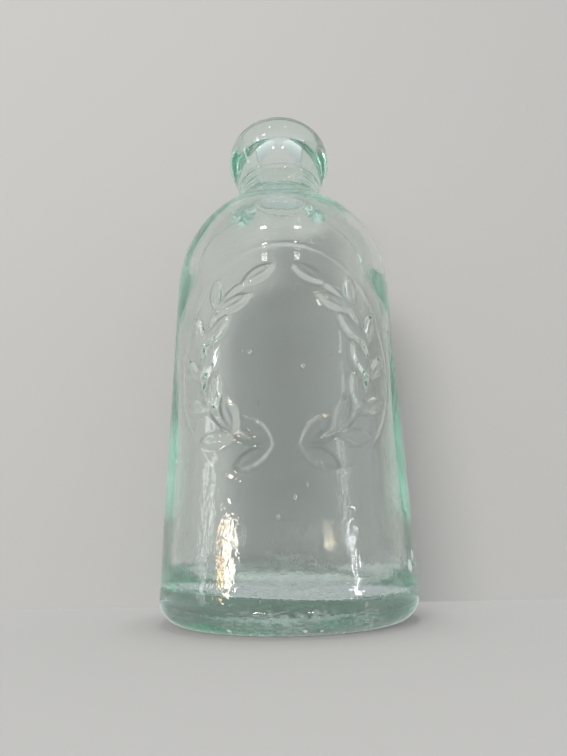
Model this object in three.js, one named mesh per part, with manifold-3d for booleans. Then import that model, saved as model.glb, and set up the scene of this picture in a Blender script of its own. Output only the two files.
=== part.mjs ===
// Blob top soda bottle in thick aqua glass. The body is one gather of glass, blown into a mould that gives it
// a heavy base and a raised wreath on the front. The blob lip is a second gather, laid round the end of the
// neck while both were hot. Millimetres, +Z up, origin at the middle of the foot, wreath facing -Y.
import * as THREE from "three";
import { mergeVertices } from "three/addons/utils/BufferGeometryUtils.js";
import Module from "manifold-3d";

const wasm = await Module();
wasm.setup();

// Body and base
const BODY_RADIUS = 32;
const BODY_HEIGHT = 90.3; // from the foot to where the shoulder starts to turn in
const HEEL_RADIUS = 6;
const FOOT_WIDTH = 6; // flat ring that the bottle stands on
const KICK_UP = 4; // rise of the hollow under the base
const BASE_THICKNESS = 6; // glass at the middle of the base
const FLOOR_CROWN = 3.5; // how far the inside floor is higher at its middle than at its rim
const INSIDE_CORNER = 6;
const WALL_AT_BASE = 3.2;
const WALL_AT_SHOULDER = 1.9;

// Shoulder and neck
const SHOULDER_LEAN = THREE.MathUtils.degToRad(50); // of the shoulder's flank, from upright
const SHOULDER_CURVE = 34.5; // radius of the outward curve
const NECK_CURVE = 16; // radius of the inward curve into the neck
const THROAT_CURVE = 10; // the same curve on the inside
const NECK_WALL = 5.55;
const NECK_LENGTH = 1.1; // neck that shows between the shoulder and the lip
const BORE_RADIUS = 7.75;

// Blob lip
const LIP_HEIGHT = 18.5;
const LIP_BELLY = 12; // height of the widest point above the lip's lower edge
const LIP_SWELL = 3.7; // how far the widest point stands out from the neck
const LIP_STEP = 0.5; // how far the lower edge stands out from the neck
const LIP_PULL = 5; // how long the flank runs upright at its lower edge and at its belly
const LIP_BORE = 1; // straight bore of the lip itself, above the end of the neck
const LIP_FACE = 1.2; // width of the flat ring on top
const MOUTH_ROUND = 4; // rounding from that ring into the bore
const SEAM = 0.1; // between the neck and the lip laid round it

// Raised wreath
const WREATH_HEIGHT = 58.5; // middle of the wreath above the foot
const WREATH_RADIUS = 21.5; // of its stems
const WREATH_RELIEF = 0.8;
const WREATH_ROOT = 0.6; // how deep the raised glass starts below the body's surface
const BRANCH_START = THREE.MathUtils.degToRad(8); // measured from straight down
const BRANCH_END = THREE.MathUtils.degToRad(150);
const STEM_WIDTH = 1.3;
const LEAF_PAIRS = 6; // on each branch
const LEAF_LENGTH = 9.6;
const LEAF_WIDTH = 3.7;
const LEAF_LEAN = THREE.MathUtils.degToRad(34); // away from the stem
const LEAF_GAP = 0.4; // bare glass between the stem and a leaf's root

// Fineness of the round surfaces
const TURNS = 60; // flats round the bottle
const SHOULDER_STEPS = 7;
const CURVE_STEPS = 5;
const LEAF_STEPS = 4;
const STEM_STEPS = 20;

// Sizes that follow from the ones above
const neckRadius = BORE_RADIUS + NECK_WALL;
const neckHeight = BODY_HEIGHT + shoulderRise(BODY_RADIUS - neckRadius, SHOULDER_CURVE, NECK_CURVE);
const lipBottom = neckHeight + NECK_LENGTH;
const bottleHeight = lipBottom + LIP_HEIGHT;
const neckTop = bottleHeight - MOUTH_ROUND - LIP_BORE;
const floorHeight = KICK_UP + BASE_THICKNESS;

const aquaGlass = new THREE.MeshStandardMaterial({
  color: 0xa9cfc0,
  roughness: 0.06,
  metalness: 0,
  transparent: true,
  opacity: 0.45,
});

// A closed three.js geometry as a manifold solid.
function solidOf(geometry) {
  const bare = geometry.clone();
  bare.deleteAttribute("normal");
  bare.deleteAttribute("uv");
  const merged = mergeVertices(bare);
  return new wasm.Manifold(
    new wasm.Mesh({
      numProp: 3,
      vertProperties: new Float32Array(merged.attributes.position.array),
      triVerts: new Uint32Array(merged.index.array),
    }),
  );
}

function meshOf(name, solid, material) {
  const data = solid.getMesh();
  const geometry = new THREE.BufferGeometry();
  geometry.setAttribute("position", new THREE.BufferAttribute(data.vertProperties, 3));
  geometry.setIndex(new THREE.BufferAttribute(data.triVerts, 1));
  geometry.computeVertexNormals();
  const mesh = new THREE.Mesh(geometry, material);
  mesh.name = name;
  return mesh;
}

function at(x, y) {
  return new THREE.Vector2(x, y);
}

// A profile of (radius, height) points turned about the bottle's axis.
function turned(points) {
  return solidOf(new THREE.LatheGeometry(points, TURNS).rotateX(Math.PI / 2));
}

// Points on an arc about (radius, height), between two angles measured from outwards.
function arc(radius, height, across, up, from, to, steps = CURVE_STEPS) {
  return new THREE.EllipseCurve(radius, height, across, up, from, to, to < from).getPoints(steps);
}

// A shoulder runs from an upright wall to an upright neck: an outward curve, a straight flank and an inward
// curve, all tangent. Its rise follows from the width that it has to cross.
function shoulderRise(width, outward, inward) {
  const curves = outward + inward;
  const flank = (width - curves * (1 - Math.cos(SHOULDER_LEAN))) / Math.sin(SHOULDER_LEAN);
  return curves * Math.sin(SHOULDER_LEAN) + flank * Math.cos(SHOULDER_LEAN);
}

function shoulder(wallRadius, throatRadius, outward, inward) {
  const top = BODY_HEIGHT + shoulderRise(wallRadius - throatRadius, outward, inward);
  const [start, end] = [Math.PI + SHOULDER_LEAN, Math.PI];
  return [
    ...arc(wallRadius - outward, BODY_HEIGHT, outward, outward, 0, SHOULDER_LEAN, SHOULDER_STEPS),
    ...arc(throatRadius + inward, top, inward, inward, start, end, SHOULDER_STEPS),
  ];
}

// The blown body, from the foot to the end of the neck outside, and back down to the floor inside.
function blownBody() {
  const footOuter = BODY_RADIUS - HEEL_RADIUS;
  const footInner = footOuter - FOOT_WIDTH;
  const hollow = new THREE.QuadraticBezierCurve(at(0, KICK_UP), at(footInner / 2, KICK_UP), at(footInner, 0));
  const outside = [
    ...hollow.getPoints(CURVE_STEPS),
    ...arc(footOuter, HEEL_RADIUS, HEEL_RADIUS, HEEL_RADIUS, -Math.PI / 2, 0),
    ...shoulder(BODY_RADIUS, neckRadius, SHOULDER_CURVE, NECK_CURVE),
    at(neckRadius, neckTop),
  ];
  const cornerRadius = BODY_RADIUS - WALL_AT_BASE - INSIDE_CORNER;
  const cornerHeight = floorHeight - FLOOR_CROWN + INSIDE_CORNER;
  const innerShoulder = BODY_RADIUS - WALL_AT_SHOULDER;
  const innerCurve = SHOULDER_CURVE - WALL_AT_SHOULDER;
  const inside = [
    at(0, floorHeight),
    ...arc(cornerRadius, cornerHeight, INSIDE_CORNER, INSIDE_CORNER, -Math.PI / 2, 0),
    ...shoulder(innerShoulder, BORE_RADIUS, innerCurve, THROAT_CURVE),
    at(BORE_RADIUS, neckTop),
  ];
  return turned([...outside, ...inside.reverse()]);
}

// The blob lip: a swelling flank, a rounded top with a flat ring, and a socket that laps over the neck.
function blobLip() {
  const lowerEdge = neckRadius + LIP_STEP;
  const lipRadius = neckRadius + LIP_SWELL;
  const socket = neckRadius + SEAM;
  const belly = lipBottom + LIP_BELLY;
  const faceInner = BORE_RADIUS + MOUTH_ROUND;
  const faceOuter = faceInner + LIP_FACE;
  const flank = new THREE.CubicBezierCurve(
    at(lowerEdge, lipBottom),
    at(lowerEdge, lipBottom + LIP_PULL),
    at(lipRadius, belly - LIP_PULL),
    at(lipRadius, belly),
  );
  const crownWidth = lipRadius - faceOuter;
  const crownRise = bottleHeight - belly;
  const crown = arc(faceOuter, belly, crownWidth, crownRise, 0, Math.PI / 2, SHOULDER_STEPS);
  const outline = [
    at(socket, lipBottom),
    ...flank.getPoints(CURVE_STEPS),
    ...crown.slice(1),
    ...arc(faceInner, bottleHeight - MOUTH_ROUND, MOUTH_ROUND, MOUTH_ROUND, Math.PI / 2, Math.PI),
    at(BORE_RADIUS, neckTop),
    at(socket, neckTop),
    at(socket, lipBottom),
  ];
  return turned(outline);
}

// A flat outline raised on the front of the body: its X runs round the body, and its Y runs up it.
function raised(outline) {
  const depth = WREATH_ROOT + WREATH_RELIEF;
  const geometry = new THREE.ExtrudeGeometry(new THREE.Shape(outline), { depth, bevelEnabled: false });
  const points = geometry.attributes.position;
  for (let i = 0; i < points.count; i++) {
    const angle = points.getX(i) / BODY_RADIUS;
    const radius = BODY_RADIUS - WREATH_ROOT + points.getZ(i);
    points.setXYZ(i, radius * Math.sin(angle), -radius * Math.cos(angle), WREATH_HEIGHT + points.getY(i));
  }
  return solidOf(geometry);
}

// A leaf drawn as two bowed sides, with its root on the stem at an angle from straight down.
function leaf(angle, lean, offset) {
  const radius = WREATH_RADIUS + offset;
  const root = at(radius * Math.sin(angle), -radius * Math.cos(angle));
  const tip = at(LEAF_LENGTH, 0);
  const bow = (width) => new THREE.QuadraticBezierCurve(at(0, 0), at(LEAF_LENGTH / 2, width), tip);
  const lowerSide = bow(-LEAF_WIDTH).getPoints(LEAF_STEPS);
  const upperSide = bow(LEAF_WIDTH).getPoints(LEAF_STEPS).reverse().slice(1, -1);
  return [...lowerSide, ...upperSide].map((point) => point.rotateAround(at(0, 0), angle + lean).add(root));
}

function stem() {
  const [start, end] = [BRANCH_START - Math.PI / 2, BRANCH_END - Math.PI / 2];
  const side = (radius) => arc(0, 0, radius, radius, start, end, STEM_STEPS);
  return [...side(WREATH_RADIUS + STEM_WIDTH / 2), ...side(WREATH_RADIUS - STEM_WIDTH / 2).reverse()];
}

// The wreath's outlines: a branch with its stem, its leaves in pairs that lean out and in and the leaf at its
// tip, all a little apart on the glass, and its mirror image.
function wreath() {
  const offset = STEM_WIDTH / 2 + LEAF_GAP;
  const branch = [stem(), leaf(BRANCH_END + LEAF_GAP / WREATH_RADIUS, 0, 0)];
  for (let pair = 0; pair < LEAF_PAIRS; pair++) {
    const angle = BRANCH_START + ((BRANCH_END - BRANCH_START) * pair) / LEAF_PAIRS;
    branch.push(leaf(angle, -LEAF_LEAN, offset), leaf(angle, LEAF_LEAN, -offset));
  }
  const mirrored = branch.map((outline) => outline.map((point) => at(-point.x, point.y)));
  return [...branch, ...mirrored];
}

const body = wreath().reduce((glass, outline) => glass.add(raised(outline)), blownBody());
const bottle = new THREE.Group();
bottle.add(meshOf("bottle_body", body, aquaGlass));
bottle.add(meshOf("blob_lip", blobLip(), aquaGlass));

export default bottle;
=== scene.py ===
import math
import random

import bpy
import numpy as np
from mathutils import Matrix, Vector, noise


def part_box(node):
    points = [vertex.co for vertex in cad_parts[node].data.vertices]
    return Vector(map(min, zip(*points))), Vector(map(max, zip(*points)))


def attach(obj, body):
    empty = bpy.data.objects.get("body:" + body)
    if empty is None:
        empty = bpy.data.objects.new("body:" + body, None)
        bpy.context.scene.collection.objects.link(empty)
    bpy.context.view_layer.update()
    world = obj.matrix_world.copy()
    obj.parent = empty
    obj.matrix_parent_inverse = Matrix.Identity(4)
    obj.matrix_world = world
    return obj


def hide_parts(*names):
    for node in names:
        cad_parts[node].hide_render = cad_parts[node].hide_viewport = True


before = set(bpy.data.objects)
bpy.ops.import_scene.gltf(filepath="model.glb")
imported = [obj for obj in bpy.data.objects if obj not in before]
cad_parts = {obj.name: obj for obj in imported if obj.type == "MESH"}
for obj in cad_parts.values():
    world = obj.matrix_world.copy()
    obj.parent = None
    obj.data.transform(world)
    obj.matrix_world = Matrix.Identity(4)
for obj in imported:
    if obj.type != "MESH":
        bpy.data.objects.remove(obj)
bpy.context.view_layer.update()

# Blown body: one gather of aqua soda glass, blown into an iron mould that closed round it in two halves. The
# mould made the outside true; the inside was free, so the wall is thin under the shoulder, thick at the heel
# and the back, and the floor lies aslant. Sizes are in millimetres; the mesh turns them into metres.
MM = 0.001
_, body_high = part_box("bottle_body")
BODY_RADIUS = body_high.x / MM
BODY_HEIGHT = 90.3
HEEL_RADIUS = 6
FOOT_OUTER = BODY_RADIUS - HEEL_RADIUS
FOOT_INNER = 20
KICK_UP = 4
SHOULDER_LEAN = math.radians(50)
SHOULDER_CURVE = 34.5
NECK_CURVE = 16
NECK_RADIUS = 13.3
FLOOR_MIDDLE = 10
FLOOR_RIM = 6.5
FLOOR_SLANT = 1.4
FLOOR_REACH = 30
INSIDE_CORNER = 6
WALL_LOW = 3
WALL_WAIST = 1.2
WALL_SHOULDER = 1.9
WALL_LOW_TOP = 40
WALL_WAIST_AT = 78
THROAT_CURVE = 10
BORE_AT_NECK = 8.3
BORE_AT_MOUTH = 7.75
INSIDE_FORWARD = 0.3
FORWARD_BAND = (9, 16, 104, 121)

# Rows of the mesh: how many on each curve, and how far apart on the upright walls.
HOLLOW_STEPS = 16
FOOT_STEPS = 5
HEEL_STEPS = 14
FLANK_STEPS = 8
SHOULDER_STEPS = 18
FLOOR_STEPS = 14
CORNER_STEPS = 12
THROAT_STEPS = 14
HEEL_ROW = 1.2
WREATH_ROW = 0.5
SHOULDER_ROW = 0.6
INSIDE_ROW = 1.6
WREATH_ROWS_FROM = 27
WREATH_ROWS_TO = 89


def arc(radius, height, across, up, start, end, steps):
    """Points (radius, height) on an ellipse's arc, between two angles measured from outwards."""
    angles = [start + (end - start) * i / steps for i in range(steps + 1)]
    return [(radius + across * math.cos(a), height + up * math.sin(a)) for a in angles]


def bow(first, pull, push, last, steps):
    """Points on a cubic curve from first to last, with its two handles between."""
    shares = [i / steps for i in range(steps + 1)]
    ends = zip(first, pull, push, last)
    return list(zip(*[
        [(1 - s) ** 3 * a + 3 * s * (1 - s) ** 2 * b + 3 * s * s * (1 - s) * c + s ** 3 * d for s in shares]
        for a, b, c, d in ends
    ]))


def upright(radius, low, high, row):
    """Points up a straight wall, about a row apart."""
    steps = max(1, round((high - low) / row))
    return [(radius, low + (high - low) * i / steps) for i in range(steps + 1)]


def shoulder(wall_radius, neck_radius, outward, inward, steps):
    """An outward curve, a straight flank and an inward curve, from an upright wall to an upright neck."""
    lean = SHOULDER_LEAN
    curves = outward + inward
    flank = (wall_radius - neck_radius - curves * (1 - math.cos(lean))) / math.sin(lean)
    top = BODY_HEIGHT + curves * math.sin(lean) + flank * math.cos(lean)
    lower = arc(wall_radius - outward, BODY_HEIGHT, outward, outward, 0, lean, steps)
    upper = arc(neck_radius + inward, top, inward, inward, math.pi + lean, math.pi, steps)
    (r0, z0), (r1, z1) = lower[-1], upper[0]
    shares = [i / FLANK_STEPS for i in range(1, FLANK_STEPS)]
    middle = [(r0 + (r1 - r0) * s, z0 + (z1 - z0) * s) for s in shares]
    return lower + middle + upper


def smooth(low, high, value):
    """A share that rises softly from 0 at low to 1 at high, or falls if low is the larger."""
    share = np.clip((value - low) / (high - low), 0, 1)
    return share * share * (3 - 2 * share)


def band(start, full, fade, end, value):
    """A share that rises from start to full, and falls from fade to end."""
    return smooth(start, full, value) * smooth(end, fade, value)


def wall_at(height):
    """Thickness of the wall at a height."""
    waist = WALL_LOW + (WALL_WAIST - WALL_LOW) * smooth(WALL_LOW_TOP, WALL_WAIST_AT, height)
    return waist + (WALL_SHOULDER - WALL_WAIST) * smooth(WALL_WAIST_AT, BODY_HEIGHT, height)


def forward_at(height):
    """How far the inside lies towards the front, which thins the wall there and thickens it at the back."""
    return INSIDE_FORWARD * wall_at(height) * band(*FORWARD_BAND, height)


outside = bow(
    (0, KICK_UP),
    (FOOT_INNER / 3, KICK_UP),
    (FOOT_INNER * 2 / 3, KICK_UP * 2 / 3),
    (FOOT_INNER, 0),
    HOLLOW_STEPS,
)
foot_width = FOOT_OUTER - FOOT_INNER
outside += [(FOOT_INNER + foot_width * i / FOOT_STEPS, 0) for i in range(1, FOOT_STEPS)]
outside += arc(FOOT_OUTER, HEEL_RADIUS, HEEL_RADIUS, HEEL_RADIUS, -math.pi / 2, 0, HEEL_STEPS)
outside += upright(BODY_RADIUS, HEEL_RADIUS, WREATH_ROWS_FROM, HEEL_ROW)[1:]
outside += upright(BODY_RADIUS, WREATH_ROWS_FROM, WREATH_ROWS_TO, WREATH_ROW)[1:]
outside += upright(BODY_RADIUS, WREATH_ROWS_TO, BODY_HEIGHT, SHOULDER_ROW)[1:-1]
outside += shoulder(BODY_RADIUS, NECK_RADIUS, SHOULDER_CURVE, NECK_CURVE, SHOULDER_STEPS)

corner_radius = BODY_RADIUS - WALL_LOW - INSIDE_CORNER
corner_top = FLOOR_RIM + INSIDE_CORNER
floor_fall = FLOOR_MIDDLE - FLOOR_RIM
inner_wall = upright(0, corner_top, BODY_HEIGHT, INSIDE_ROW)[1:-1]
inner_radius = BODY_RADIUS - WALL_SHOULDER
inner_curve = SHOULDER_CURVE - WALL_SHOULDER
inside = [
    (corner_radius * i / FLOOR_STEPS, FLOOR_MIDDLE - floor_fall * (i / FLOOR_STEPS) ** 2)
    for i in range(FLOOR_STEPS)
]
inside += arc(corner_radius, corner_top, INSIDE_CORNER, INSIDE_CORNER, -math.pi / 2, 0, CORNER_STEPS)
inside += [(BODY_RADIUS - wall_at(height), height) for _, height in inner_wall]
inside += shoulder(inner_radius, BORE_AT_NECK, inner_curve, THROAT_CURVE, THROAT_STEPS)

# Blob lip: a second gather of the same glass, laid hot round the end of the neck and turned smooth with a
# lipping tool. Its lower edge lies on the neck as a small ledge, and its top rounds over into the bore.
lip_low, lip_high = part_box("blob_lip")
LIP_RADIUS = lip_high.x / MM
LIP_BOTTOM = lip_low.z / MM
LIP_TOP = lip_high.z / MM
BELLY_RISE = 12
LIP_BELLY = LIP_BOTTOM + BELLY_RISE
LIP_PULL = 5
LEDGE_WIDTH = 0.5
LEDGE_ROUND = 0.3
LEDGE_CORNER = [(0, -0.35), (0.05, -0.12), (0.16, 0)]
LIP_EDGE = NECK_RADIUS + LEDGE_WIDTH
MOUTH_ROUND = 4
LIP_FACE = 1.2
LIP_FACE_INNER = BORE_AT_MOUTH + MOUTH_ROUND
LIP_FACE_OUTER = LIP_FACE_INNER + LIP_FACE
LEDGE_STEPS = 4
LIP_STEPS = 18
CROWN_STEPS = 20
MOUTH_STEPS = 12
BORE_STEPS = 10

ledge_inner = LIP_EDGE - LEDGE_ROUND
ledge_top = LIP_BOTTOM + LEDGE_ROUND
crown_width = LIP_RADIUS - LIP_FACE_OUTER
crown_rise = LIP_TOP - LIP_BELLY
lip = [(NECK_RADIUS + out, LIP_BOTTOM + up) for out, up in LEDGE_CORNER]
lip += arc(ledge_inner, ledge_top, LEDGE_ROUND, LEDGE_ROUND, -math.pi / 2, 0, LEDGE_STEPS)
lip += bow(
    (LIP_EDGE, ledge_top),
    (LIP_EDGE, LIP_BOTTOM + LIP_PULL),
    (LIP_RADIUS, LIP_BELLY - LIP_PULL),
    (LIP_RADIUS, LIP_BELLY),
    LIP_STEPS,
)[1:]
lip += arc(LIP_FACE_OUTER, LIP_BELLY, crown_width, crown_rise, 0, math.pi / 2, CROWN_STEPS)[1:]

bore_top = LIP_TOP - MOUTH_ROUND
throat_radius, throat_top = inside[-1]
bore_widens = throat_radius - BORE_AT_MOUTH
bore_falls = throat_top - bore_top
mouth = arc(LIP_FACE_INNER, bore_top, MOUTH_ROUND, MOUTH_ROUND, math.pi / 2, math.pi, MOUTH_STEPS)
bore = [
    (BORE_AT_MOUTH + bore_widens * i / BORE_STEPS, bore_top + bore_falls * i / BORE_STEPS)
    for i in range(1, BORE_STEPS)
]

# Raised front: the mould had a round plate let into its front half, whose edge left a fine line, and a
# wreath of two leafy branches cut into the plate, which stands up from the glass with soft edges.
WREATH_HEIGHT = 58.5
WREATH_RADIUS = 21.5
WREATH_RELIEF = 0.8
WREATH_EDGE = 0.75
PLATE_RADIUS = 29.5
PLATE_LINE = 0.16
PLATE_LINE_WIDTH = 0.3
BRANCH_START = math.radians(8)
BRANCH_END = math.radians(150)
TIP_GAP = 0.02
STEM_WIDTH = 1.3
LEAF_PAIRS = 6
LEAF_LENGTH = 9.6
LEAF_WIDTH = 3.7
LEAF_LEAN = math.radians(34)
LEAF_OVERLAP = 0.2
LEAF_OFFSET = STEM_WIDTH / 2 - LEAF_OVERLAP
VEIN_DEPTH = 0.3
VEIN_WIDTH = 0.3
VEIN_BAND = (0.05, 0.2, 0.7, 0.9)


def swell(depth):
    """Height of the raised glass at a depth inside its outline: a rounded edge up to a full face."""
    share = np.clip(depth / WREATH_EDGE, 0, 1)
    return WREATH_RELIEF * np.sqrt(1 - (1 - share) ** 2)


def ridge(distance, width):
    """A soft ridge, 1 high at no distance."""
    return np.exp(-((distance / width) ** 2))


def leaf_height(across, up, angle, lean, offset):
    """Height of one leaf with a sunk vein, its root on the stem at an angle from straight down."""
    radius = WREATH_RADIUS + offset
    turn = angle + lean
    across = across - radius * math.sin(angle)
    up = up + radius * math.cos(angle)
    along = (across * math.cos(turn) + up * math.sin(turn)) / LEAF_LENGTH
    aside = np.abs(up * math.cos(turn) - across * math.sin(turn))
    half = 2 * LEAF_WIDTH * along * (1 - along)
    vein = VEIN_DEPTH * ridge(aside, VEIN_WIDTH) * band(*VEIN_BAND, along)
    return swell(half - aside) * (1 - vein)


def branch_height(across, up):
    """Height of the right-hand branch: its stem, the leaf at its tip and the leaves in pairs."""
    angle = np.arctan2(across, -up)
    distance = np.hypot(across, up)
    on_stem = (angle > BRANCH_START) & (angle < BRANCH_END)
    height = np.where(on_stem, swell(STEM_WIDTH / 2 - np.abs(distance - WREATH_RADIUS)), 0)
    height = np.maximum(height, leaf_height(across, up, BRANCH_END + TIP_GAP, 0, 0))
    for pair in range(LEAF_PAIRS):
        root = BRANCH_START + (BRANCH_END - BRANCH_START) * pair / LEAF_PAIRS
        height = np.maximum(height, leaf_height(across, up, root, -LEAF_LEAN, LEAF_OFFSET))
        height = np.maximum(height, leaf_height(across, up, root, LEAF_LEAN, -LEAF_OFFSET))
    return height


def front_height(across, up):
    """Height of the whole front: the branch, its mirror image and the plate's line."""
    line = PLATE_LINE * ridge(np.hypot(across, up) - PLATE_RADIUS, PLATE_LINE_WIDTH)
    return np.maximum(branch_height(across, up), branch_height(-across, up)) + line


# Bottle skin: body and lip are fused, so they have one skin of glass, outside and in. Its grid is fine where
# the wreath stands up and beside the two mould seams, and coarse round the back.
FULL_TURN = 2 * math.pi
FRONT_HALF = math.radians(62)
FRONT_COLUMNS = 135
BACK_COLUMNS = 80
SEAMS = (math.radians(90), math.radians(270))
SEAM_COLUMNS = (-1.6, -0.8, -0.4, 0, 0.4, 0.8, 1.6)
SEAM_CLEAR = math.radians(2.2)
SEAM_HEIGHT = 0.13
SEAM_WIDTH = 0.3
SEAM_BAND = (2, 8, 110, 124)
NECK_LEAN = 0.55
MOULD_WAVE = (0.05, 17, 1, 3.1)
MOULD_RIPPLE = (0.025, 6, 1, 11.7)
BLOWN_WAVE = (0.32, 24, 2.2, 40.3)
BLOWN_RIPPLE = (0.09, 8, 2.5, 57.9)
BLOWN_LEAST = 0.5
BLOWN_FULL_WALL = 2
TOOLED_WAVE = (0.14, 13, 0.8, 71.2)
TOOLED_FROM = LIP_BOTTOM - 1
TOOLED_FULL = LIP_BOTTOM + 4
FLOOR_LEVEL = 8
FOOT_FLAT = 0.01
LEAST_LENGTH = 1e-9

profile = np.array(outside + lip + mouth + bore + inside[::-1])
outer_rows = len(outside) + len(lip) + 1
front = np.linspace(-FRONT_HALF, FRONT_HALF, FRONT_COLUMNS)
round_back = np.linspace(FRONT_HALF, FULL_TURN - FRONT_HALF, BACK_COLUMNS)[1:-1]
beside = [seam + math.radians(aside) for seam in SEAMS for aside in SEAM_COLUMNS]
clear = [turn for turn in round_back if min(abs(turn - seam) for seam in SEAMS) > SEAM_CLEAR]
turns = np.array(sorted([*front, *clear, *beside]))

radius = profile[:, :1] * np.ones_like(turns)
height = profile[:, 1:] * np.ones_like(turns)
angle = np.ones_like(profile[:, :1]) * turns
signed = np.where(angle > math.pi, angle - FULL_TURN, angle)
row_number = np.arange(len(profile))[:, None] * np.ones_like(turns)
is_inside = row_number >= outer_rows
slope = np.gradient(profile, axis=0)
slope /= np.maximum(np.linalg.norm(slope, axis=1, keepdims=True), LEAST_LENGTH)
out_radius = slope[:, 1:]
out_height = -slope[:, :1]


def ripple(depth, size, tall, start):
    """Smooth waves over the whole grid: their depth, width, height in widths and start in the noise."""
    x = radius * np.sin(angle) / size + start
    y = -radius * np.cos(angle) / size
    z = height / (size * tall)
    points = np.stack([x, y, z], axis=-1).reshape(-1, 3)
    return depth * np.array([noise.noise(p) for p in points]).reshape(radius.shape)


plain = is_inside | (height < HEEL_RADIUS) | (height > BODY_HEIGHT)
raised = np.where(plain, 0, front_height(BODY_RADIUS * signed, height - WREATH_HEIGHT))
from_seam = np.abs(np.abs(signed) - math.pi / 2) * radius
seam_ridge = SEAM_HEIGHT * band(*SEAM_BAND, height) * ridge(from_seam, SEAM_WIDTH)
raised += np.where(is_inside, 0, seam_ridge)
mould_wave = ripple(*MOULD_WAVE) + ripple(*MOULD_RIPPLE)
blown_wave = ripple(*BLOWN_WAVE) + ripple(*BLOWN_RIPPLE)
blown_wave *= np.minimum(1, BLOWN_LEAST + (1 - BLOWN_LEAST) * wall_at(height) / BLOWN_FULL_WALL)
tooled_wave = ripple(*TOOLED_WAVE) * smooth(TOOLED_FROM, TOOLED_FULL, height)
push = np.where(is_inside, -blown_wave, mould_wave + tooled_wave) + raised
push = np.where((height < FOOT_FLAT) & ~is_inside, 0, push)
radius_now = radius + push * out_radius
height_now = height + push * out_height
slant = FLOOR_SLANT * np.where(is_inside, smooth(FLOOR_REACH, FLOOR_LEVEL, height), 0)
x = radius_now * np.sin(angle) - NECK_LEAN * smooth(BODY_HEIGHT, LIP_BELLY, height)
y = -radius_now * np.cos(angle) - np.where(is_inside, forward_at(height), 0)
z = height_now - slant * x / BODY_RADIUS

rows, columns = radius.shape
grid = np.stack([x, y, z], axis=-1)
last = 1 + (rows - 2) * columns


def over_skin(values):
    """The grid's values in the mesh's order: the middle of the foot, the rows, the middle of the floor."""
    between = values[1:-1].reshape(-1, *values.shape[2:])
    return [values[0].mean(axis=0), *between, values[-1].mean(axis=0)]


def point(row, column):
    """Number of the mesh's point at a row and a column, which run into one point at each end."""
    if row == 0:
        return 0
    if row == rows - 1:
        return last
    return 1 + (row - 1) * columns + column % columns


vertices = over_skin(grid)
faces = []
for row in range(rows - 1):
    for column in range(columns):
        lower = [point(row, column), point(row, column + 1)]
        upper = [point(row + 1, column + 1), point(row + 1, column)]
        faces.append(tuple(dict.fromkeys(lower + upper)))

# Seeds: small bubbles that the gather kept, drawn tall in the wall and the neck and left round in the base.
# They are hollows in the glass, closed and turned inwards. Four stand where the photograph shows them.
SEED_RINGS = 8
SEED_SIDES = 12
SEED_DEPTH = 0.22
SEED_PLACE = 0.55
PLACED_SEEDS = [
    (-0.257, 59.6, 0.6, 1.3),
    (0.132, 55.5, 0.45, 1.4),
    (-0.06, 22.6, 0.4, 1.3),
    (0.05, 26.4, 0.4, 1.4),
]
WALL_SEEDS = 34
WALL_HEIGHTS = (16, 112)
WALL_SIZES = (0.12, 0.34)
WALL_STRETCH = (1.3, 3)
BASE_SEEDS = 8
BASE_RADII = (4, 24)
BASE_HEIGHTS = (4.4, 5.4)
BASE_SIZES = (0.12, 0.3)
BASE_STRETCH = 0.8
NECK_SEEDS = 14
NECK_RADII = (9.6, 12)
NECK_HEIGHTS = (126, 142)
NECK_SIZES = (0.12, 0.35)
NECK_STRETCH = (1.5, 3)
RANDOM_START = 41
draw = random.Random(RANDOM_START)
outer_points = np.array(outside)[HOLLOW_STEPS + FOOT_STEPS - 1:]
inner_points = np.array(inside)[FLOOR_STEPS:]


def wall_between(angle, height):
    """Inner and outer radius of the wall at an angle and a height."""
    outer = np.interp(height, outer_points[:, 1], outer_points[:, 0])
    inner = np.interp(height, inner_points[:, 1], inner_points[:, 0])
    return inner + forward_at(height) * math.cos(angle), outer


def bubble(angle, radius, height, across, tall, deep):
    """A closed hollow, turned inwards: half sizes round the bottle, up it and through its wall."""
    around = np.array([math.cos(angle), math.sin(angle), 0])
    out = np.array([math.sin(angle), -math.cos(angle), 0])
    up = np.array([0, 0, 1])
    middle = out * radius + up * height
    start = len(vertices)
    vertices.append(middle - up * tall)
    for ring in range(1, SEED_RINGS):
        level = math.pi * ring / SEED_RINGS
        for step in range(SEED_SIDES):
            way = FULL_TURN * step / SEED_SIDES
            flat = around * across * math.cos(way) + out * deep * math.sin(way)
            vertices.append(middle + flat * math.sin(level) - up * tall * math.cos(level))
    vertices.append(middle + up * tall)
    end = len(vertices) - 1
    first = start + 1
    final = end - SEED_SIDES
    for step in range(SEED_SIDES):
        after = (step + 1) % SEED_SIDES
        faces.append((start, first + step, first + after))
        for ring in range(SEED_RINGS - 2):
            low = first + ring * SEED_SIDES
            high = low + SEED_SIDES
            faces.append((low + step, high + step, high + after, low + after))
        faces.append((final + step, end, final + after))


def wall_seed(angle, height, size, stretch):
    """A seed in the body's wall, thin enough to stay inside it."""
    inner, outer = wall_between(angle, height)
    thickness = outer - inner
    deep = min(size, SEED_DEPTH * thickness)
    bubble(angle, inner + SEED_PLACE * thickness, height, size, size * stretch, deep)


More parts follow.
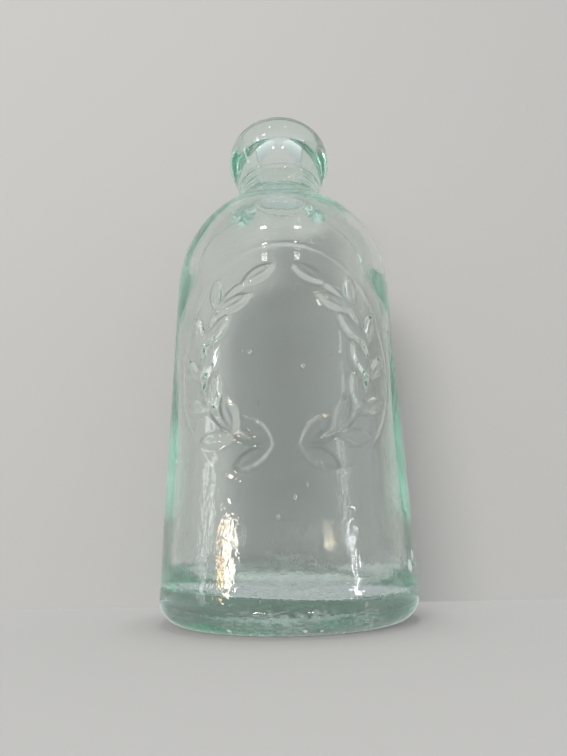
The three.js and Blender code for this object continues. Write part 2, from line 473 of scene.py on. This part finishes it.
for seed in PLACED_SEEDS:
    wall_seed(*seed)
for _ in range(WALL_SEEDS):
    way = draw.uniform(0, FULL_TURN)
    level = draw.uniform(*WALL_HEIGHTS)
    size = draw.uniform(*WALL_SIZES)
    wall_seed(way, level, size, draw.uniform(*WALL_STRETCH))
for _ in range(BASE_SEEDS):
    size = draw.uniform(*BASE_SIZES)
    way = draw.uniform(0, FULL_TURN)
    from_axis = draw.uniform(*BASE_RADII)
    bubble(way, from_axis, draw.uniform(*BASE_HEIGHTS), size, size * BASE_STRETCH, size)
for _ in range(NECK_SEEDS):
    size = draw.uniform(*NECK_SIZES)
    stretch = draw.uniform(*NECK_STRETCH)
    way = draw.uniform(0, FULL_TURN)
    from_axis = draw.uniform(*NECK_RADII)
    bubble(way, from_axis, draw.uniform(*NECK_HEIGHTS), size, size * stretch, size)

# Glass finish: clear aqua glass, coloured by the iron in its sand, so it greens where it is thick. A milky
# film has dried on the floor and in a cloud low on the back inside, the foot and the widest parts are
# scuffed, the heel is chipped, and the mould left a fine peel low on the front and under the base.
FILM_STRENGTH = 1.1
FILM_FALL = (34, 9)
FILM_AT_FRONT = 0.35
FILM_TO_BACK = (-0.5, 0.8)
FILM_ON_WALL = 0.8
FILM_ON_FLOOR = 2
FILM_FLOOR = (14, 10)
CLOUD_STRENGTH = 1.2
CLOUD_ASIDE = 2.5
CLOUD_HEIGHT = 17
CLOUD_TALL = 0.8
CLOUD_FALL = (12.5, 2)
CLOUD_EVEN = 0.6
BLOTCH_MIDDLE = 0.5
BLOTCH_WAVE = (1.2, 9, 0.8, 23.4)
FOOT_FALL = (1.4, 0.2)
HEEL_FALL = (7, 3)
HEEL_FRONT = (1.1, 0.5)
HEEL_AT_BACK = 0.2
HOLLOW_LEAST = 0.5
HOLLOW_WORN = (FOOT_INNER - 12, FOOT_INNER)
HOLLOW_FALL = (6, 5)
BODY_WEAR = 0.22
LOW_BAND = (6, 9, 11, 16)
HIGH_BAND = (80, 85, 91, 96)
LIP_WEAR = 0.2
LIP_BAND = (LIP_BELLY - 3, LIP_BELLY, LIP_BELLY + 1, LIP_BELLY + 4)
PEEL_LEAST = 0.06
PEEL_FRONT = 0.65
PEEL_FRONT_FALL = (40, 26)
PEEL_FRONT_SIDES = (0.95, 0.6)
PEEL_UNDER = 0.4
PEEL_UNDER_EDGE = (FOOT_OUTER + 2, FOOT_OUTER - 1)
PEEL_UNDER_FALL = (4.6, 4.1)

blotches = np.clip(BLOTCH_MIDDLE + ripple(*BLOTCH_WAVE), 0, 1)
to_back = FILM_AT_FRONT + (1 - FILM_AT_FRONT) * smooth(*FILM_TO_BACK, -np.cos(angle))
low_film = FILM_STRENGTH * np.where(is_inside, smooth(*FILM_FALL, height), 0) * to_back * blotches
from_cloud = np.hypot(x - CLOUD_ASIDE, CLOUD_TALL * (height - CLOUD_HEIGHT))
cloud = np.where(is_inside & (y > 0), smooth(*CLOUD_FALL, from_cloud), 0)
cloud_film = CLOUD_STRENGTH * cloud * (CLOUD_EVEN + (1 - CLOUD_EVEN) * blotches)
most_film = FILM_ON_WALL + FILM_ON_FLOOR * smooth(*FILM_FLOOR, height)
haze = np.minimum(low_film + cloud_film, most_film)

from_front = np.abs(signed)
heel_front = HEEL_AT_BACK + (1 - HEEL_AT_BACK) * smooth(*HEEL_FRONT, from_front)
heel_rub = blotches * smooth(*HEEL_FALL, height) * heel_front
hollow_edge = HOLLOW_LEAST + (1 - HOLLOW_LEAST) * smooth(*HOLLOW_WORN, radius)
hollow_rub = hollow_edge * smooth(*HOLLOW_FALL, height)
foot_rub = np.maximum(smooth(*FOOT_FALL, height), heel_rub)
under_rub = np.where(radius < FOOT_INNER, hollow_rub, foot_rub)
body_rub = BODY_WEAR * (band(*LOW_BAND, height) + band(*HIGH_BAND, height))
lip_rub = LIP_WEAR * band(*LIP_BAND, height)
wear = np.where(is_inside, 0, under_rub + body_rub + lip_rub)

front_peel = PEEL_FRONT * smooth(*PEEL_FRONT_FALL, height) * smooth(*PEEL_FRONT_SIDES, from_front)
under_peel = PEEL_UNDER * smooth(*PEEL_UNDER_EDGE, radius) * smooth(*PEEL_UNDER_FALL, height)
peel_share = PEEL_LEAST + np.where(is_inside, 0, np.maximum(front_peel, under_peel))

glass_mesh = bpy.data.meshes.new("bottle_glass")
glass_mesh.from_pydata([tuple(v * MM) for v in vertices], [], faces)
glass_mesh.polygons.foreach_set("use_smooth", [True] * len(faces))
on_seeds = [0] * (len(vertices) - last - 1)
for name, values in (("haze", haze), ("wear", wear), ("peel", peel_share)):
    layer = glass_mesh.attributes.new(name, "FLOAT", "POINT")
    layer.data.foreach_set("value", [*over_skin(values), *on_seeds])
bottle_glass = bpy.data.objects.new("bottle_glass", glass_mesh)
bpy.context.scene.collection.objects.link(bottle_glass)

GLASS_TINT = (0.93, 0.95, 0.93, 1)
GLASS_IOR = 1.52
IRON_COLOUR = (0.12, 0.82, 0.58, 1)
IRON_DENSITY = 8
GLASS_ROUGHNESS = 0.012
FILM_GRAIN = (500, 500, 350)
FILM_DETAIL = 5
FILM_LEVELS = (0.2, 0.55)
FILM_ROUGHNESS = 0.3
FILM_MILK = 0.3
SCUFF_GRAIN = (700, 700, 3200)
SCUFF_DETAIL = 4
SCUFF_LEVELS = (0.44, 0.64)
SCUFF_ROUGHNESS = 0.4
SCUFF_MILK = 0.35
HEEL_CHIPS = [(1.03, 32, 12.2, 1.6), (1.12, 32, 14.4, 1.3)]
FOOT_CHIPS = [(-0.42, 29.6, 1.2, 0.6), (0.1, 29.6, 1.2, 0.55), (0.21, 29.6, 1.2, 0.4)]
CHIP_GRAIN = (900, 900, 900)
CHIP_DETAIL = 3
CHIP_EDGE = 0.4
CHIP_RAGGED = 1.2
CHIP_STRENGTH = 2
PEEL_GRAIN = (800, 800, 520)
PEEL_DETAIL = 2
PEEL_DEPTH = 0.15 * MM

aqua_glass = bpy.data.materials.new("aqua_glass")
aqua_glass.use_nodes = True
tree = aqua_glass.node_tree
shader = tree.nodes["Principled BSDF"]
shader.inputs["Base Color"].default_value = GLASS_TINT
shader.inputs["IOR"].default_value = GLASS_IOR
absorption = tree.nodes.new("ShaderNodeVolumeAbsorption")
absorption.inputs["Color"].default_value = IRON_COLOUR
absorption.inputs["Density"].default_value = IRON_DENSITY
tree.links.new(absorption.outputs["Volume"], tree.nodes["Material Output"].inputs["Volume"])
place = tree.nodes.new("ShaderNodeTexCoord").outputs["Object"]


def grain(stretch, detail):
    """Noise over the object, with so many waves to a metre along X, Y and Z."""
    sizes = tree.nodes.new("ShaderNodeMapping")
    sizes.inputs["Scale"].default_value = stretch
    waves = tree.nodes.new("ShaderNodeTexNoise")
    waves.inputs["Scale"].default_value = 1
    waves.inputs["Detail"].default_value = detail
    tree.links.new(place, sizes.inputs["Vector"])
    tree.links.new(sizes.outputs["Vector"], waves.inputs["Vector"])
    return waves.outputs["Fac"]


def painted(attribute):
    """A share that is painted on the mesh."""
    node = tree.nodes.new("ShaderNodeAttribute")
    node.attribute_name = attribute
    return node.outputs["Fac"]


def sum_of(value, factor, more):
    """A socket's value times a factor, plus a number or another socket's value."""
    node = tree.nodes.new("ShaderNodeMath")
    node.operation = "MULTIPLY_ADD"
    tree.links.new(value, node.inputs[0])
    node.inputs[1].default_value = factor
    if isinstance(more, (int, float)):
        node.inputs[2].default_value = more
    else:
        tree.links.new(more, node.inputs[2])
    return node.outputs["Value"]


def broken(attribute, waves, low, high):
    """A finish painted on the mesh, broken up by noise between two of its levels."""
    edge = tree.nodes.new("ShaderNodeMapRange")
    edge.inputs["From Min"].default_value = low
    edge.inputs["From Max"].default_value = high
    share = tree.nodes.new("ShaderNodeMath")
    share.operation = "MULTIPLY"
    tree.links.new(waves, edge.inputs["Value"])
    tree.links.new(edge.outputs["Result"], share.inputs[0])
    tree.links.new(painted(attribute), share.inputs[1])
    return share.outputs["Value"]


def chip(angle, radius, height, size):
    """A small chipped spot with a ragged edge, as a share from 0 to 1."""
    middle = Vector((radius * math.sin(angle), -radius * math.cos(angle), height)) * MM
    apart = tree.nodes.new("ShaderNodeVectorMath")
    apart.operation = "DISTANCE"
    apart.inputs[1].default_value = middle
    tree.links.new(place, apart.inputs[0])
    waves = grain(CHIP_GRAIN, CHIP_DETAIL)
    ragged = sum_of(waves, -CHIP_RAGGED * size * MM, apart.outputs["Value"])
    spot = tree.nodes.new("ShaderNodeMapRange")
    spot.inputs["From Min"].default_value = CHIP_EDGE * size * MM
    spot.inputs["From Max"].default_value = 0
    tree.links.new(ragged, spot.inputs["Value"])
    return spot.outputs["Result"]


film = broken("haze", grain(FILM_GRAIN, FILM_DETAIL), *FILM_LEVELS)
scuff = broken("wear", grain(SCUFF_GRAIN, SCUFF_DETAIL), *SCUFF_LEVELS)
for spot in HEEL_CHIPS + FOOT_CHIPS:
    scuff = sum_of(chip(*spot), CHIP_STRENGTH, scuff)
roughness = sum_of(scuff, SCUFF_ROUGHNESS, sum_of(film, FILM_ROUGHNESS, GLASS_ROUGHNESS))
clearness = sum_of(scuff, -SCUFF_MILK, sum_of(film, -FILM_MILK, 1))
tree.links.new(roughness, shader.inputs["Roughness"])
tree.links.new(clearness, shader.inputs["Transmission Weight"])
peel = tree.nodes.new("ShaderNodeBump")
peel.inputs["Distance"].default_value = PEEL_DEPTH
tree.links.new(painted("peel"), peel.inputs["Strength"])
tree.links.new(grain(PEEL_GRAIN, PEEL_DETAIL), peel.inputs["Height"])
tree.links.new(peel.outputs["Normal"], shader.inputs["Normal"])
glass_mesh.materials.append(aqua_glass)
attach(bottle_glass, "root")
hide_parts("bottle_body", "blob_lip")

# Pale surfaces: a sheet of matt card that the bottle's back lies on, as in the photograph, and a second
# sheet that it stands on in the upright views. Each shows only from its front, and a faint glow softens the
# shadows on it. Cards and lamps are in metres.
CARD_SIZE = 3
CARD_GAP = 0.15 * MM
CARD_COLOUR = (0.42, 0.412, 0.4, 1)
CARD_GLOW = 0.14
CARD_ROUGHNESS = 0.9
CARD_SHINE = 0.1


def pale_card(name, near, far):
    """A card between two edges along X, each given by its y and z."""
    half = CARD_SIZE / 2
    mesh = bpy.data.meshes.new(name)
    mesh.from_pydata([(x, y, z) for y, z in (near, far) for x in (-half, half)], [], [(0, 1, 3, 2)])
    card = bpy.data.objects.new(name, mesh)
    bpy.context.scene.collection.objects.link(card)
    material = bpy.data.materials.new(name)
    material.use_nodes = True
    nodes = material.node_tree.nodes
    links = material.node_tree.links
    matt = nodes["Principled BSDF"]
    matt.inputs["Base Color"].default_value = CARD_COLOUR
    matt.inputs["Emission Color"].default_value = CARD_COLOUR
    matt.inputs["Emission Strength"].default_value = CARD_GLOW
    matt.inputs["Roughness"].default_value = CARD_ROUGHNESS
    matt.inputs["Specular IOR Level"].default_value = CARD_SHINE
    side = nodes.new("ShaderNodeNewGeometry")
    clear_back = nodes.new("ShaderNodeBsdfTransparent")
    one_sided = nodes.new("ShaderNodeMixShader")
    links.new(side.outputs["Backfacing"], one_sided.inputs["Fac"])
    links.new(matt.outputs["BSDF"], one_sided.inputs[1])
    links.new(clear_back.outputs["BSDF"], one_sided.inputs[2])
    links.new(one_sided.outputs["Shader"], nodes["Material Output"].inputs["Surface"])
    mesh.materials.append(material)
    card.visible_diffuse = False
    card.visible_shadow = False
    return card


back = BODY_RADIUS * MM + CARD_GAP
lying_card = pale_card("lying_card", (back, 0), (back, CARD_SIZE / 2))
standing_card = pale_card("standing_card", (-CARD_SIZE / 2, 0), (CARD_SIZE / 2, 0))
standing_card.visible_glossy = False
standing_card.visible_transmission = False

# Studio light: an even pale room, dimmer low down and straight above. Small warm and cool lamps light only
# the glass, for the streaks on the body and the glints on the shoulder and lip, and two large lamps light
# only the cards.
AIM = Vector((0, 0, 0.07))
LAMP_DISTANCE = 0.9
TOP_DISTANCE = 1.5
ROOM_COLOUR = (0.95, 0.98, 1, 1)
ROOM_LOW = 0.5
ROOM_LOW_BELOW = -0.4
ROOM_FULL_ABOVE = 0.05
ROOM_TOP = 0.55
ROOM_FULL_BELOW = 0.3
ROOM_TOP_ABOVE = 0.8
BOUNCES = 96
glass_only = bpy.data.collections.new("glass_only")
glass_only.objects.link(bottle_glass)
cards_only = bpy.data.collections.new("cards_only")
cards_only.objects.link(lying_card)
cards_only.objects.link(standing_card)


def softbox(lit, name, towards, width, tall, power, colour, distance=LAMP_DISTANCE):
    """A lamp in a direction from the bottle, facing it, that lights only what is in a collection."""
    lamp = bpy.data.lights.new(name, "AREA")
    lamp.shape = "RECTANGLE"
    lamp.size = width
    lamp.size_y = tall
    lamp.energy = power
    lamp.color = colour
    holder = bpy.data.objects.new(name, lamp)
    direction = Vector(towards).normalized()
    holder.location = AIM + direction * distance
    holder.rotation_euler = direction.to_track_quat("Z", "Y").to_euler()
    holder.light_linking.receiver_collection = lit
    bpy.context.scene.collection.objects.link(holder)


softbox(glass_only, "warm_softbox", (-0.77, -0.63, -0.085), 0.1, 0.13, 1.3, (1, 0.9, 0.78))
softbox(glass_only, "amber_lamp", (-0.84, -0.54, -0.085), 0.05, 0.11, 0.4, (1, 0.6, 0.25))
softbox(glass_only, "cool_strip", (0.825, -0.565, -0.1), 0.02, 0.14, 0.6, (0.9, 0.95, 1))
softbox(glass_only, "side_strip", (-0.97, -0.25, 0.05), 0.08, 0.5, 0.5, (0.97, 0.96, 1))
softbox(glass_only, "left_lamp", (-0.24, -0.66, 0.71), 0.06, 0.03, 0.25, (1, 1, 1))
softbox(glass_only, "right_lamp", (0.2, -0.67, 0.71), 0.06, 0.03, 0.25, (1, 0.97, 0.92))
softbox(glass_only, "low_left_lamp", (-0.35, -0.75, -0.55), 0.05, 0.03, 0.3, (1, 0.88, 0.7))
softbox(glass_only, "low_right_lamp", (0.3, -0.78, -0.55), 0.05, 0.03, 0.3, (0.95, 0.97, 1))
softbox(cards_only, "top_lamp", (0, 0, 1), 0.3, 0.3, 7.2, (1, 1, 1), TOP_DISTANCE)
softbox(cards_only, "key_light", (-0.35, -0.87, 0.32), 0.4, 0.4, 4.8, (1, 0.98, 0.95))

room = bpy.data.worlds.new("room")
room.use_nodes = True
room_nodes = room.node_tree.nodes
room_links = room.node_tree.links
sky = room_nodes["Background"]
sky.inputs["Color"].default_value = ROOM_COLOUR
ways = room_nodes.new("ShaderNodeTexCoord")
heights = room_nodes.new("ShaderNodeSeparateXYZ")
dusk = room_nodes.new("ShaderNodeMapRange")
dusk.inputs["From Min"].default_value = ROOM_LOW_BELOW
dusk.inputs["From Max"].default_value = ROOM_FULL_ABOVE
dusk.inputs["To Min"].default_value = ROOM_LOW
zenith = room_nodes.new("ShaderNodeMapRange")
zenith.inputs["From Min"].default_value = ROOM_FULL_BELOW
zenith.inputs["From Max"].default_value = ROOM_TOP_ABOVE
zenith.inputs["To Max"].default_value = ROOM_TOP
room_links.new(ways.outputs["Generated"], heights.inputs["Vector"])
room_links.new(heights.outputs["Z"], dusk.inputs["Value"])
room_links.new(heights.outputs["Z"], zenith.inputs["Value"])
room_links.new(dusk.outputs["Result"], zenith.inputs["To Min"])
room_links.new(zenith.outputs["Result"], sky.inputs["Strength"])
bpy.context.scene.world = room
bpy.context.scene.view_settings.view_transform = "Standard"
bpy.context.scene.cycles.max_bounces = BOUNCES
bpy.context.scene.cycles.transmission_bounces = BOUNCES
bpy.context.scene.cycles.glossy_bounces = BOUNCES

# Camera: held close over the lying bottle, from beyond its foot, so the foot is nearest. Its wide lens and
# its place, in millimetres again, were fitted to the straight sides of the body and the curve of the heel.
LENS = 22.86
NEAREST = 10
CAMERA_DISTANCE = 141.4
AIM_HEIGHT = 63.75
SIDEWAYS = 0.34
TILT = math.radians(19.64)
ROLL = math.radians(1.11)
forward = Vector((0, math.cos(TILT), math.sin(TILT)))
level_right = Vector((1, 0, 0))
level_up = Vector((0, -math.sin(TILT), math.cos(TILT)))
camera_right = level_right * math.cos(ROLL) - level_up * math.sin(ROLL)
camera_up = level_up * math.cos(ROLL) + level_right * math.sin(ROLL)
lens = bpy.data.cameras.new("camera")
lens.lens = LENS
lens.clip_start = NEAREST * MM
camera = bpy.data.objects.new("camera", lens)
standpoint = Vector((0, 0, AIM_HEIGHT)) - camera_right * SIDEWAYS - forward * CAMERA_DISTANCE
turned = Matrix((camera_right, camera_up, -forward)).transposed().to_4x4()
camera.matrix_world = Matrix.Translation(standpoint * MM) @ turned
bpy.context.scene.collection.objects.link(camera)
bpy.context.scene.camera = camera
